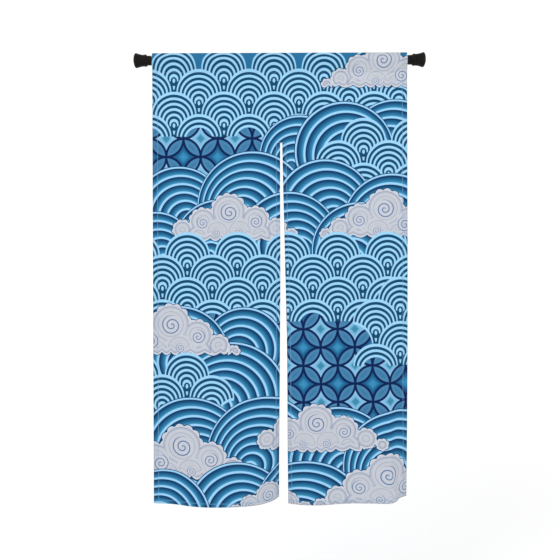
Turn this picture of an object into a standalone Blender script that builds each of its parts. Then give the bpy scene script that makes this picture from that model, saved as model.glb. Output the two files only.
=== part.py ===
# Noren curtain on a round pole with flared end caps.
#
# Metres, +Z up. The origin is the middle of the pole's axis. +X runs along the pole to the right
# of someone facing the curtain, and the printed front faces -Y.

import math

import bmesh
import bpy

MM = 0.001

# Pole and the clearance that touching pieces keep
POLE_RADIUS = 12.5 * MM
POLE_END_X = 463.0 * MM
POLE_SIDES = 48
GAP = 0.3 * MM

# Turned end caps: x is measured along the pole, from its middle
CAP_MOUTH_X = 427.6 * MM
CAP_NECK_RADIUS = 15.6 * MM
CAP_RIM_RADIUS = 24.4 * MM
CAP_RIM_X = 477.4 * MM
CAP_END_X = 486.6 * MM
CAP_STEPS = 40
DOME_STEPS = 7
FLARE_STEPS = 6

# Side of a cap between its flare and its neck, in mm: x, radius
CAP_SIDE = (
    (452.8, 18.8),
    (452.3, 17.7),
    (451.3, 17.7),
    (450.8, 19.2),
    (448.0, 19.9),
    (445.4, 19.7),
    (443.6, 18.6),
    (440.9, 16.2),
    (439.6, 15.6),
)

# Small screws that hold the caps on the pole
SCREW_X = 436.8 * MM
SCREW_RADIUS = 2.2 * MM
SCREW_LENGTH = 2.6 * MM
SCREW_HEX_ACROSS = 2.0 * MM
SCREW_HEX_DEPTH = 1.2 * MM

# Cloth as it is sewn
CLOTH_WIDTH = 850.0 * MM
CLOTH_THICKNESS = 1.2 * MM
POCKET_TOP = 25.4 * MM
POCKET_FOLD_RADIUS = 1.8 * MM
POCKET_SEAM = 40.0 * MM
POCKET_FLAP_END = 46.0 * MM
LAYER_GAP = 0.4 * MM
SLIT_TOP = 276.0 * MM
DROP = 1487.0 * MM

# Slit edges: depth below the pole's axis, then x of the left and the right panel's edge, in mm
SLIT_EDGES = (
    (0, 1.0, 7.7),
    (276, 1.0, 7.7),
    (400, 0.4, 9.8),
    (733, 0.0, 17.0),
    (966, -2.1, 21.3),
    (1300, -5.6, 22.3),
    (1487, -6.8, 23.7),
)

# Each panel at its foot, in mm: share of the panel's width from its left edge, how far the soft
# folds stand forward, how far the turned-back corner stands behind them, and how much higher than
# the drop the hem hangs
LEFT_PANEL = (
    (0.00, -3, 0, 10.5),
    (0.16, 3, 0, 8.5),
    (0.34, 13, 0, 1.5),
    (0.50, 14, 0, 0.0),
    (0.68, 7, 0, 0.0),
    (0.79, 2, 5, 1.0),
    (0.89, 0, 17, 5.0),
    (0.96, -2, 29, 11.0),
    (1.00, -3, 36, 20.0),
)
RIGHT_PANEL = (
    (0.00, -6, 0, 7.0),
    (0.12, 5, 0, 4.5),
    (0.27, 9, 0, 5.5),
    (0.42, -3, 0, 6.0),
    (0.56, -5, 0, 6.0),
    (0.68, 5, 0, 9.0),
    (0.80, 12, 0, 9.5),
    (0.86, 8, 8, 10.5),
    (0.93, 2, 26, 16.5),
    (1.00, 0, 42, 19.0),
)
FOLD_GROWTH = 1.5
CORNER_GROWTH = 3.2
LIFT_GROWTH = 4.0

# Mesh steps of the cloth
PANEL_COLUMNS = 20
ROWS_TO_SLIT = 4
ROWS_TO_HEM = 24
ROW_CROWDING = 1.25


def clear_scene():
    for old in list(bpy.data.objects):
        bpy.data.objects.remove(old, do_unlink=True)


def make_collection(name):
    collection = bpy.data.collections.new(name)
    bpy.context.scene.collection.children.link(collection)
    return collection


def make_material(name, colour, roughness, metallic):
    material = bpy.data.materials.new(name)
    material.use_nodes = True
    shader = material.node_tree.nodes["Principled BSDF"]
    shader.inputs["Base Color"].default_value = (*colour, 1.0)
    shader.inputs["Roughness"].default_value = roughness
    shader.inputs["Metallic"].default_value = metallic
    return material


def add_object(name, bm, collection, material):
    mesh = bpy.data.meshes.new(name)
    bm.to_mesh(mesh)
    bm.free()
    mesh.materials.append(material)
    piece = bpy.data.objects.new(name, mesh)
    collection.objects.link(piece)
    return piece


def slope(table, column, row):
    """Slope of a table's column at one of its rows, from the rows beside it."""
    before = table[max(row - 1, 0)]
    after = table[min(row + 1, len(table) - 1)]
    return (after[column] - before[column]) / (after[0] - before[0])


def smooth_table(table, column, at):
    """Value of a table's column at a place in its first column, on a smooth curve."""
    if at <= table[0][0]:
        return table[0][column]
    for row, (low, high) in enumerate(zip(table, table[1:])):
        if at <= high[0]:
            width = high[0] - low[0]
            t = (at - low[0]) / width
            rise = t * t * (3 - 2 * t)
            bend = slope(table, column, row) * t * (1 - t) ** 2
            bend -= slope(table, column, row + 1) * t * t * (1 - t)
            return low[column] + (high[column] - low[column]) * rise + bend * width
    return table[-1][column]


def arc(centre, radius, start, end, steps):
    """Points on an arc in the (y, z) plane; angles in degrees from +Z, turning towards +Y."""
    points = []
    for step in range(steps + 1):
        angle = math.radians(start + (end - start) * step / steps)
        points.append((centre[0] + radius * math.sin(angle), centre[1] + radius * math.cos(angle)))
    return points


def pocket_section():
    """Middle line of the pole pocket, from the flap's raw end behind to the seam in front."""
    wrap = POLE_RADIUS + GAP + CLOTH_THICKNESS / 2
    layer = (CLOTH_THICKNESS + LAYER_GAP) / 2
    fold_z = POCKET_TOP - CLOTH_THICKNESS / 2 - POCKET_FOLD_RADIUS
    upper = math.degrees(math.acos((wrap - POCKET_FOLD_RADIUS) / fold_z))
    seam_reach = math.hypot(layer, POCKET_SEAM)
    lower = 180 - math.degrees(math.acos(wrap / seam_reach) + math.atan2(layer, POCKET_SEAM))
    half = [(layer, -POCKET_FLAP_END), (layer, -POCKET_SEAM)]
    half += arc((0, 0), wrap, lower, upper, 4)
    half += arc((0, fold_z), POCKET_FOLD_RADIUS, upper, 0, 2)
    front = [(-y, z) for y, z in reversed(half[:-1])]
    return half + front


def sheet_rows():
    """Depths of the mesh rows under the pocket, as distances below the pole's axis."""
    rows = []
    for step in range(1, ROWS_TO_SLIT + 1):
        rows.append(POCKET_FLAP_END + (SLIT_TOP - POCKET_FLAP_END) * step / ROWS_TO_SLIT)
    for step in range(1, ROWS_TO_HEM + 1):
        share = 1 - (1 - step / ROWS_TO_HEM) ** ROW_CROWDING
        rows.append(SLIT_TOP + (DROP - SLIT_TOP) * share)
    return rows


def panel_row(panel, depth, left_x, right_x):
    """Points of one panel at one depth, spaced so that the cloth keeps its width round a fold."""
    hang = max(0.0, (depth - POCKET_FLAP_END) / (DROP - POCKET_FLAP_END))
    fold = hang ** FOLD_GROWTH
    corner = hang ** CORNER_GROWTH
    lift = hang ** LIFT_GROWTH
    layer = (CLOTH_THICKNESS + LAYER_GAP) / 2
    shares = [step / PANEL_COLUMNS for step in range(PANEL_COLUMNS + 1)]
    y_values = []
    z_values = []
    for share in shares:
        forward = smooth_table(panel, 1, share) * fold - smooth_table(panel, 2, share) * corner
        y_values.append(-layer - forward * MM)
        z_values.append(-depth + smooth_table(panel, 3, share) * lift * MM)
    cell = CLOTH_WIDTH / 2 / PANEL_COLUMNS
    steps = []
    for y_here, y_next in zip(y_values, y_values[1:]):
        steps.append(math.sqrt(max(cell ** 2 - (y_next - y_here) ** 2, (cell / 3) ** 2)))
    scale = (right_x - left_x) / sum(steps)
    x = left_x
    points = [(x, y_values[0], z_values[0])]
    for index, step in enumerate(steps):
        x += step * scale
        points.append((x, y_values[index + 1], z_values[index + 1]))
    return points


def cloth_row(depth):
    """All points across the cloth at one depth: the left panel, then the right panel."""
    half = CLOTH_WIDTH / 2
    left_edge = smooth_table(SLIT_EDGES, 1, depth / MM) * MM
    right_edge = smooth_table(SLIT_EDGES, 2, depth / MM) * MM
    return panel_row(LEFT_PANEL, depth, -half, left_edge) + panel_row(RIGHT_PANEL, depth, right_edge, half)


def make_cloth(collection, material):
    """One sheet: flap behind, over the pole, down the front, slit between the two panels."""
    section = pocket_section()
    depths = sheet_rows()
    columns = 2 * PANEL_COLUMNS + 1
    sheet = [cloth_row(depth) for depth in depths]
    pocket = [[(x, y, z) for x, _, _ in cloth_row(0.0)] for y, z in section]
    places = pocket + sheet
    rows = len(places) - 1
    slit_row = len(section) - 1 + ROWS_TO_SLIT
    bm = bmesh.new()
    bmesh.ops.create_grid(bm, x_segments=columns, y_segments=rows, size=0.5)
    place = {}
    for vertex in bm.verts:
        column = round((vertex.co.x + 0.5) * columns)
        row = round((0.5 - vertex.co.y) * rows)
        place[vertex] = (column, row)
    slit_faces = []
    for face in bm.faces:
        corners = [place[vertex] for vertex in face.verts]
        between = all(column in (PANEL_COLUMNS, PANEL_COLUMNS + 1) for column, row in corners)
        if between and all(row >= slit_row for column, row in corners):
            slit_faces.append(face)
    for vertex, (column, row) in place.items():
        vertex.co = places[row][column]
    bmesh.ops.delete(bm, geom=slit_faces, context="FACES_ONLY")
    loose = [edge for edge in bm.edges if not edge.link_faces]
    bmesh.ops.delete(bm, geom=loose, context="EDGES")
    bmesh.ops.recalc_face_normals(bm, faces=bm.faces)
    cloth = add_object("curtain_cloth", bm, collection, material)
    solidify = cloth.modifiers.new("cloth_thickness", "SOLIDIFY")
    solidify.thickness = CLOTH_THICKNESS
    solidify.offset = 0.0
    solidify.use_even_offset = True
    solidify.use_rim = True
    return cloth


def make_pole(collection, material):
    bm = bmesh.new()
    bmesh.ops.create_cone(bm, cap_ends=True, segments=POLE_SIDES, radius1=POLE_RADIUS,
                          radius2=POLE_RADIUS, depth=2 * POLE_END_X)
    pole = add_object("pole", bm, collection, material)
    pole.rotation_euler = (0.0, math.radians(90), 0.0)
    bevel = pole.modifiers.new("pole_edge", "BEVEL")
    bevel.width = 0.8 * MM
    bevel.segments = 2
    bevel.limit_method = "ANGLE"
    pole.data.shade_smooth()
    pole.data.set_sharp_from_angle(angle=math.radians(40))
    return pole


def cap_profile():
    """Half section of an end cap as (radius, x): dome, flare, side, mouth, and socket."""
    points = [(0.0, CAP_END_X)]
    for step in range(1, DOME_STEPS + 1):
        angle = math.radians(90 * step / DOME_STEPS)
        across = CAP_RIM_RADIUS * math.sin(angle)
        points.append((across, CAP_RIM_X + (CAP_END_X - CAP_RIM_X) * math.cos(angle)))
    side_x, side_radius = CAP_SIDE[0]
    flare_x = CAP_RIM_X - 1.5 * MM
    flare_radius = CAP_RIM_RADIUS - 0.4 * MM
    for step in range(FLARE_STEPS):
        share = step / FLARE_STEPS
        radius = side_radius * MM + (flare_radius - side_radius * MM) * (1 - share) ** 1.7
        points.append((radius, flare_x + (side_x * MM - flare_x) * share))
    for x, radius in CAP_SIDE:
        points.append((radius * MM, x * MM))
    points.append((CAP_NECK_RADIUS, CAP_MOUTH_X + 0.5 * MM))
    points.append((CAP_NECK_RADIUS - 0.5 * MM, CAP_MOUTH_X))
    points.append((POLE_RADIUS + GAP, CAP_MOUTH_X))
    points.append((POLE_RADIUS + GAP, POLE_END_X + GAP))
    points.append((0.0, POLE_END_X + GAP))
    return points


def make_cap(name, side, collection, cutters, material):
    """Turned cap with a blind socket for the pole and a hole for its screw, on side +1 or -1."""
    bm = bmesh.new()
    profile = [bm.verts.new((radius, 0.0, x)) for radius, x in cap_profile()]
    for upper, lower in zip(profile, profile[1:]):
        bm.edges.new((upper, lower))
    cap = add_object(name, bm, collection, material)
    screw = cap.modifiers.new("turned", "SCREW")
    screw.axis = "Z"
    screw.angle = math.radians(360)
    screw.steps = CAP_STEPS
    screw.render_steps = CAP_STEPS
    screw.use_merge_vertices = True
    screw.merge_threshold = 0.00001
    screw.use_smooth_shade = True
    cap.rotation_euler = (0.0, math.radians(90 * side), 0.0)

    bm = bmesh.new()
    bmesh.ops.create_cone(bm, cap_ends=True, segments=24, radius1=SCREW_RADIUS + GAP,
                          radius2=SCREW_RADIUS + GAP, depth=10 * MM)
    cutter = add_object(name + "_screw_hole", bm, cutters, material)
    cutter.location = (side * SCREW_X, -CAP_NECK_RADIUS, 0.0)
    cutter.rotation_euler = (math.radians(90), 0.0, 0.0)
    cutter.hide_render = True
    cutter.display_type = "WIRE"
    cut = cap.modifiers.new("screw_hole", "BOOLEAN")
    cut.operation = "DIFFERENCE"
    cut.solver = "EXACT"
    cut.object = cutter
    return cap


def make_screw(name, side, collection, cutters, material):
    """Headless screw with a hexagonal recess, its inner end just off the pole."""
    bm = bmesh.new()
    bmesh.ops.create_cone(bm, cap_ends=True, segments=24, radius1=SCREW_RADIUS,
                          radius2=SCREW_RADIUS, depth=SCREW_LENGTH)
    screw = add_object(name, bm, collection, material)
    inner_end = POLE_RADIUS + GAP
    screw.location = (side * SCREW_X, -(inner_end + SCREW_LENGTH / 2), 0.0)
    screw.rotation_euler = (math.radians(90), 0.0, 0.0)

    bm = bmesh.new()
    bmesh.ops.create_cone(bm, cap_ends=True, segments=6, radius1=SCREW_HEX_ACROSS / math.sqrt(3),
                          radius2=SCREW_HEX_ACROSS / math.sqrt(3), depth=2 * SCREW_HEX_DEPTH)
    cutter = add_object(name + "_hex_hole", bm, cutters, material)
    cutter.location = (side * SCREW_X, -(inner_end + SCREW_LENGTH), 0.0)
    cutter.rotation_euler = (math.radians(90), 0.0, 0.0)
    cutter.hide_render = True
    cutter.display_type = "WIRE"
    cut = screw.modifiers.new("hex_hole", "BOOLEAN")
    cut.operation = "DIFFERENCE"
    cut.solver = "EXACT"
    cut.object = cutter
    return screw


def main():
    clear_scene()
    parts = make_collection("noren_curtain")
    cutters = make_collection("cutters")
    printed_cloth = make_material("printed_cloth", (0.16, 0.31, 0.46), 0.85, 0.0)
    black_coat = make_material("black_coat", (0.022, 0.019, 0.017), 0.42, 0.0)
    dark_steel = make_material("dark_steel", (0.05, 0.05, 0.05), 0.4, 1.0)
    make_cloth(parts, printed_cloth)
    make_pole(parts, black_coat)
    for name, side in (("left", -1), ("right", 1)):
        make_cap("finial_" + name, side, parts, cutters, black_coat)
        make_screw("set_screw_" + name, side, parts, cutters, dark_steel)


main()
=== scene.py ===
import math

import bmesh
import bpy
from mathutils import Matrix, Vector


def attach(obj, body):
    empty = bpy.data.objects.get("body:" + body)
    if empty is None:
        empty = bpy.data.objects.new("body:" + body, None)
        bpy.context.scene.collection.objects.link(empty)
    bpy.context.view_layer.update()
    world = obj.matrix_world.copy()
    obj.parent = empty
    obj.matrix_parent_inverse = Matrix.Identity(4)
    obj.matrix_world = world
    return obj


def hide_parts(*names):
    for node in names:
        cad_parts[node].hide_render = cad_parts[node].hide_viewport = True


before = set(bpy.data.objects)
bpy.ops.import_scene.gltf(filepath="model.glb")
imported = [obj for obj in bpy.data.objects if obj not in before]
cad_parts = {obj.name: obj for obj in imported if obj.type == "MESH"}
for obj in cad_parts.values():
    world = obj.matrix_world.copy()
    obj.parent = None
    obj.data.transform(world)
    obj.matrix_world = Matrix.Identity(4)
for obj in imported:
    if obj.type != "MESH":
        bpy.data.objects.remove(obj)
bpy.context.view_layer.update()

# The curtain itself: one length of light printed cloth, turned over a pole pocket at the top, slit
# up the middle and turned in along every raw edge. It hangs from the pole by the pocket, nearly
# flat, with shallow folds that grow towards the foot and the outer corners curling back.
MM = 0.001
# All sizes down to the studio's are in mm, and are turned into the scene's metres by MM
POLE_RADIUS = 12.5
GAP = 0.3
SHEET_THICKNESS = 1.2
POCKET_TOP = 25.4
POCKET_FOLD_RADIUS = 1.8
POCKET_SEAM = 40.0
POCKET_FLAP_END = 46.0
LAYER_GAP = 0.4
SLIT_TOP = 276.0
DROP = 1487.0
HALF_WIDTH = 425.0

# Slit edges, in mm: depth below the pole's axis, x of the left panel's edge, x of the right one's
SLIT_EDGES = (
    (0, 1.0, 7.7),
    (276, 1.0, 7.7),
    (400, 0.4, 9.8),
    (733, 0.0, 17.0),
    (966, -2.1, 21.3),
    (1300, -5.6, 22.3),
    (1487, -6.8, 23.7),
)
FLAT_SLIT_LEFT = HALF_WIDTH + SLIT_EDGES[0][1]
FLAT_SLIT_RIGHT = HALF_WIDTH + SLIT_EDGES[0][2]

# Each panel at its foot, in mm: share of its width, forward, corner turned back, lift of the hem
LEFT_PANEL = (
    (0.00, -3, 0, 10.5),
    (0.16, 3, 0, 8.5),
    (0.34, 13, 0, 1.5),
    (0.50, 14, 0, 0.0),
    (0.68, 7, 0, 0.0),
    (0.79, 2, 5, 1.0),
    (0.89, 0, 17, 5.0),
    (0.96, -2, 29, 11.0),
    (1.00, -3, 36, 20.0),
)
RIGHT_PANEL = (
    (0.00, -6, 0, 7.0),
    (0.12, 5, 0, 4.5),
    (0.27, 9, 0, 5.5),
    (0.42, -3, 0, 6.0),
    (0.56, -5, 0, 6.0),
    (0.68, 5, 0, 9.0),
    (0.80, 12, 0, 10.5),
    (0.86, 8, 8, 13.5),
    (0.93, 2, 26, 18.5),
    (1.00, 0, 42, 19.5),
)
# Columns of both tables
FORWARD, TURNED_BACK, LIFTED = 1, 2, 3
# Powers by which the folds, the turned corners and the lift grow with the depth
FOLD_GROWTH = 1.5
CORNER_GROWTH = 3.2
LIFT_GROWTH = 4.0

# Distances from a turned edge at which the mesh has a line, in mm: the edge's own round, the sewing
# of the slit and the foot, the wider one of the sides, and the raw end of each turning behind
EDGE_LINES = (0.0, 0.5, 1.4, 4.0, 8.0, 11.2, 12.0, 12.9, 13.5, 15.6, 16.5, 17.4, 18.0, 21.0)
STITCH_LINE = 12.0
SIDE_STITCH_LINE = 16.5
SIDE_HEM_EXTRA = SIDE_STITCH_LINE - STITCH_LINE
TURNING_END = 13.2
CELL = 8.0
EDGE_ROUND = 0.55
EDGE_ROUND_REACH = 1.4
# Depth below the pocket over which the turnings get their thickness and the cloth its creases
TURNING_GROWTH = 12
CREASE_GROWTH = 40
CLOTH_THICKNESS = 0.7
TURNING_THICKNESS = 1.9

# Main creases, in mm: panel, x and depth of the upper end, x and depth of the lower end, half
# width, height towards the front; and the length over which each fades out and how it wanders
CREASES = (
    ("right", 352, 1180, 356, 1440, 9, 2.6),
    ("right", 404, 1230, 408, 1430, 7, 2.0),
    ("right", 384, 1150, 380, 1460, 12, -2.4),
    ("right", 120, 900, 132, 1487, 26, 1.8),
    ("right", 214, 1120, 236, 1487, 18, -1.6),
    ("right", 60, 330, 74, 760, 30, 1.3),
    ("right", 300, 60, 290, 420, 34, -1.1),
    ("right", 345, 420, 330, 900, 28, 1.2),
    ("left", -372, 700, -380, 1420, 20, 1.6),
    ("left", -300, 1060, -280, 1487, 24, -1.8),
    ("left", -205, 640, -196, 1180, 32, 1.3),
    ("left", -90, 1000, -78, 1487, 22, 1.7),
    ("left", -120, 60, -134, 480, 36, 1.1),
    ("left", -330, 60, -322, 380, 30, -1.0),
)
CREASE_FADE = 60
CREASE_WANDER = 3
CREASE_WANDER_LENGTH = 47

# Puckers along the sides and the foot, in mm: height, length of a wave, how far the waves shift
# (in radians), and the lengths over which they shift and swell. They are highest at the pucker line,
# reach as far as given on both sides of it, and swell and shrink by the share given last.
SIDE_PUCKERS = (0.28, 4.1, 1.7, 37, 61)
FOOT_PUCKERS = (0.30, 3.7, 1.9, 29, 53)
PUCKER_LINE = 10
PUCKER_REACH = 9
PUCKER_SWELL = 0.4


def slope(table, column, row):
    """Slope of a table's column at one of its rows, from the rows beside it."""
    before = table[max(row - 1, 0)]
    after = table[min(row + 1, len(table) - 1)]
    return (after[column] - before[column]) / (after[0] - before[0])


def smooth_table(table, column, at):
    """Value of a table's column at a place in its first column, on a smooth curve."""
    if at <= table[0][0]:
        return table[0][column]
    for row, (low, high) in enumerate(zip(table, table[1:])):
        if at <= high[0]:
            width = high[0] - low[0]
            t = (at - low[0]) / width
            rise = t * t * (3 - 2 * t)
            bend = slope(table, column, row) * t * (1 - t) ** 2
            bend -= slope(table, column, row + 1) * t * t * (1 - t)
            return low[column] + (high[column] - low[column]) * rise + bend * width
    return table[-1][column]


def arc(centre, radius, start, end, steps):
    """Points on an arc in the (y, z) plane; angles in degrees from +Z, turning towards +Y."""
    points = []
    for step in range(steps + 1):
        angle = math.radians(start + (end - start) * step / steps)
        points.append((centre[0] + radius * math.sin(angle), centre[1] + radius * math.cos(angle)))
    return points


def straight(start, end, steps):
    """Points on a line, without its last one."""
    points = []
    for step in range(steps):
        share = step / steps
        points.append((start[0] + (end[0] - start[0]) * share, start[1] + (end[1] - start[1]) * share))
    return points


def pocket_section():
    """Line of the pole pocket, from the flap's raw end behind to the seam in front."""
    flap_steps, slope_steps, pole_steps, neck_steps, fold_steps = 3, 7, 12, 3, 6
    wrap = POLE_RADIUS + GAP + SHEET_THICKNESS / 2
    layer = (SHEET_THICKNESS + LAYER_GAP) / 2
    fold_z = POCKET_TOP - SHEET_THICKNESS / 2 - POCKET_FOLD_RADIUS
    upper = math.degrees(math.acos((wrap - POCKET_FOLD_RADIUS) / fold_z))
    seam_reach = math.hypot(layer, POCKET_SEAM)
    lower = 180 - math.degrees(math.acos(wrap / seam_reach) + math.atan2(layer, POCKET_SEAM))
    round_pole = arc((0, 0), wrap, lower, upper, pole_steps)
    half = straight((layer, -POCKET_FLAP_END), (layer, -POCKET_SEAM), flap_steps)
    half += straight((layer, -POCKET_SEAM), round_pole[0], slope_steps)
    half += round_pole
    top_fold = arc((0, fold_z), POCKET_FOLD_RADIUS, upper, 0, fold_steps)
    half += straight(round_pole[-1], top_fold[0], neck_steps)[1:]
    half += top_fold
    front = [(-y, z) for y, z in reversed(half[:-1])]
    return half + front


def lines_across(width):
    """Places of the mesh lines across a panel, close together at both of its turned edges."""
    inner = width - 2 * EDGE_LINES[-1]
    steps = round(inner / CELL)
    middle = [EDGE_LINES[-1] + inner * step / steps for step in range(1, steps)]
    far = [width - line for line in reversed(EDGE_LINES)]
    return list(EDGE_LINES) + middle + far


def lines_down():
    """Depths of the mesh lines from the pocket to the foot, close together at the foot's turning."""
    depths = []
    for top, foot in ((POCKET_FLAP_END, SLIT_TOP), (SLIT_TOP, DROP - EDGE_LINES[-1])):
        steps = round((foot - top) / CELL)
        depths += [top + (foot - top) * step / steps for step in range(1, steps + 1)]
    return depths[:-1] + [DROP - line for line in reversed(EDGE_LINES)]


def smooth_step(low, high, at):
    """0 below the low place and 1 above the high one, with a smooth change between."""
    share = min(max((at - low) / (high - low), 0.0), 1.0)
    return share * share * (3 - 2 * share)


def crease_height(panel, x, depth):
    """How far the main creases stand forward at a place, in mm."""
    height = 0.0
    for side, top_x, top, foot_x, foot, half_width, rise in CREASES:
        if side != panel or not top - CREASE_FADE < depth < foot + CREASE_FADE:
            continue
        share = (depth - top) / (foot - top)
        wander = CREASE_WANDER * math.sin(depth / CREASE_WANDER_LENGTH + top_x)
        off = (x - top_x - (foot_x - top_x) * share - wander) / half_width
        ends = smooth_step(top - CREASE_FADE, top + CREASE_FADE, depth)
        if foot < DROP:
            ends *= 1 - smooth_step(foot - CREASE_FADE / 3, foot + CREASE_FADE, depth)
        height += rise * ends * math.exp(-off * off)
    return height


def pucker_height(puckers, from_edge, along, start=0.0):
    """Small waves that the stitching draws into a turned edge, in mm."""
    height, wave, shift, shift_length, swell_length = puckers
    near = math.exp(-((from_edge - PUCKER_LINE) / PUCKER_REACH) ** 2)
    waves = math.sin(along / wave + shift * math.sin(along / shift_length))
    waves *= 1 - PUCKER_SWELL + PUCKER_SWELL * math.sin(along / swell_length + start)
    return height * near * waves


def panel_row(panel, name, depth, left_x, right_x, lines):
    """Points of one panel at one depth, in mm, spaced so that the cloth keeps its width."""
    hang = max(0.0, (depth - POCKET_FLAP_END) / (DROP - POCKET_FLAP_END))
    fold = hang ** FOLD_GROWTH
    corner = hang ** CORNER_GROWTH
    lift = hang ** LIFT_GROWTH
    layer = (SHEET_THICKNESS + LAYER_GAP) / 2
    width = lines[-1]
    free = smooth_step(POCKET_FLAP_END, POCKET_FLAP_END + CREASE_GROWTH, depth)
    y_values = []
    z_values = []
    for line in lines:
        share = line / width
        from_side = min(line, width - line)
        flat_x = left_x + (right_x - left_x) * share
        forward = smooth_table(panel, FORWARD, share) * fold
        forward -= smooth_table(panel, TURNED_BACK, share) * corner
        forward += free * crease_height(name, flat_x, depth)
        puckers = pucker_height(SIDE_PUCKERS, from_side, depth, flat_x)
        puckers += pucker_height(FOOT_PUCKERS, DROP - depth, flat_x)
        forward += free * puckers
        forward -= EDGE_ROUND * (1 - smooth_step(0, EDGE_ROUND_REACH, min(from_side, DROP - depth)))
        y_values.append(-layer - forward)
        z_values.append(-depth + smooth_table(panel, LIFTED, share) * lift)
    steps = []
    for index in range(len(lines) - 1):
        cell = lines[index + 1] - lines[index]
        across = y_values[index + 1] - y_values[index]
        shortest = cell / 3
        steps.append(math.sqrt(max(cell ** 2 - across ** 2, shortest ** 2)))
    scale = (right_x - left_x) / sum(steps)
    x = left_x
    points = [(x, y_values[0], z_values[0])]
    for index, step in enumerate(steps):
        x += step * scale
        points.append((x, y_values[index + 1], z_values[index + 1]))
    return points


left_lines = lines_across(FLAT_SLIT_LEFT)
right_lines = lines_across(2 * HALF_WIDTH - FLAT_SLIT_RIGHT)


def cloth_row(depth):
    """All points across the cloth at one depth: the left panel, then the right panel."""
    left_edge = smooth_table(SLIT_EDGES, 1, depth)
    right_edge = smooth_table(SLIT_EDGES, 2, depth)
    row = panel_row(LEFT_PANEL, "left", depth, -HALF_WIDTH, left_edge, left_lines)
    row += panel_row(RIGHT_PANEL, "right", depth, right_edge, HALF_WIDTH, right_lines)
    return row


section = pocket_section()
depths = lines_down()
pocket_x = [x for x, y, z in cloth_row(0.0)]
cloth_rows = [[(x, y, z) for x in pocket_x] for y, z in section]
cloth_rows += [cloth_row(depth) for depth in depths]
# Place of each line on the flat cloth, in mm: across from its left edge, down from the top fold
flat_across = [x + HALF_WIDTH for x in pocket_x]
top_row = len(section) // 2
flat_down = []
for row_index, (y, z) in enumerate(section):
    flat_down.append((POCKET_TOP - z) * (1 if row_index >= top_row else -1))
flat_down += [POCKET_TOP + depth for depth in depths]
slit_row = len(section) + depths.index(SLIT_TOP)


def add_piece(name, bm):
    """Turns a finished mesh into an object of the scene."""
    mesh = bpy.data.meshes.new(name)
    bm.to_mesh(mesh)
    bm.free()
    piece = bpy.data.objects.new(name, mesh)
    bpy.context.scene.collection.objects.link(piece)
    return piece


def make_sheet(name):
    """Grid with a line for each row and column above, cut open along the slit."""
    last_column = len(pocket_x) - 1
    last_row = len(cloth_rows) - 1
    bm = bmesh.new()
    bmesh.ops.create_grid(bm, x_segments=last_column, y_segments=last_row, size=0.5)
    flat_layer = bm.loops.layers.uv.new("flat_place")
    turning_layer = bm.verts.layers.deform.verify()
    place = {}
    for vertex in bm.verts:
        column = round((vertex.co.x + 0.5) * last_column)
        row = round((0.5 - vertex.co.y) * last_row)
        place[vertex] = (column, row)
    slit_columns = (len(left_lines) - 1, len(left_lines))
    slit_faces = []
    for face in bm.faces:
        corners = [place[vertex] for vertex in face.verts]
        for loop, (column, row) in zip(face.loops, corners):
            loop[flat_layer].uv = (flat_across[column] * MM, flat_down[row] * MM)
        between = all(column in slit_columns for column, row in corners)
        if between and all(row >= slit_row for column, row in corners):
            slit_faces.append(face)
        face.smooth = True
    for vertex, (column, row) in place.items():
        vertex.co = Vector(cloth_rows[row][column]) * MM
        below = flat_down[row] - POCKET_TOP
        across = flat_across[column]
        from_edge = min(across, 2 * HALF_WIDTH - across) - SIDE_HEM_EXTRA
        if row >= slit_row:
            from_edge = min(from_edge, abs(across - FLAT_SLIT_LEFT), abs(across - FLAT_SLIT_RIGHT))
        from_edge = min(from_edge, DROP - below)
        turned = smooth_step(POCKET_FLAP_END, POCKET_FLAP_END + TURNING_GROWTH, below)
        if from_edge < TURNING_END and turned > 0:
            vertex[turning_layer][0] = turned
    bmesh.ops.delete(bm, geom=slit_faces, context="FACES_ONLY")
    loose = [edge for edge in bm.edges if not edge.link_faces]
    bmesh.ops.delete(bm, geom=loose, context="EDGES")
    piece = add_piece(name, bm)
    piece.vertex_groups.new(name="turnings")
    return piece


curtain = make_sheet("curtain_cloth_sewn")
layers = curtain.modifiers.new("cloth_and_turnings", "SOLIDIFY")
layers.thickness = TURNING_THICKNESS * MM
layers.vertex_group = "turnings"
layers.thickness_vertex_group = CLOTH_THICKNESS / TURNING_THICKNESS
layers.offset = -1.0


# The print on the curtain: two common repeats, seigaiha and shippo, with ring hills and banks of
# scalloped cloud in front of them, in blues and a pale grey. Places and sizes are in mm on the flat
# cloth, across from its left edge and down from the top fold.
LIGHT_BLUE = "#9DD5F7"
MIDDLE_BLUE = "#25719F"
DEEP_BLUE = "#08486D"
NAVY = "#001F52"
# How much brighter than its own colour the studio's light makes the cloth
STUDIO_LIGHT = 1.26


def paint(code):
    """Node colour for a colour as it looks in the studio's light, written in hex."""
    parts = [int(code[place:place + 2], 16) / 255 for place in (1, 3, 5)]
    linear = [part / 12.92 if part < 0.04045 else ((part + 0.055) / 1.055) ** 2.4 for part in parts]
    return (*[part / STUDIO_LIGHT for part in linear], 1.0)


def join(tree, value, target):
    """Feeds an input from a wire or a socket, or sets it to a plain value."""
    if isinstance(value, Wire):
        value = value.socket
    if isinstance(value, bpy.types.NodeSocket):
        tree.links.new(value, target)
    else:
        target.default_value = value


def calc(tree, operation, *values, clamp=False):
    """Puts values through a Math node."""
    node = tree.nodes.new("ShaderNodeMath")
    node.operation = operation
    node.use_clamp = clamp
    for target, value in zip(node.inputs, values):
        join(tree, value, target)
    return Wire(tree, node.outputs[0])


def operator(operation, swapped=False):
    """Method of a wire that puts it through a Math node, alone or with one other value."""
    def method(wire, *other):
        values = (*other, wire) if swapped else (wire, *other)
        return calc(wire.tree, operation, *values)
    return method


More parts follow.
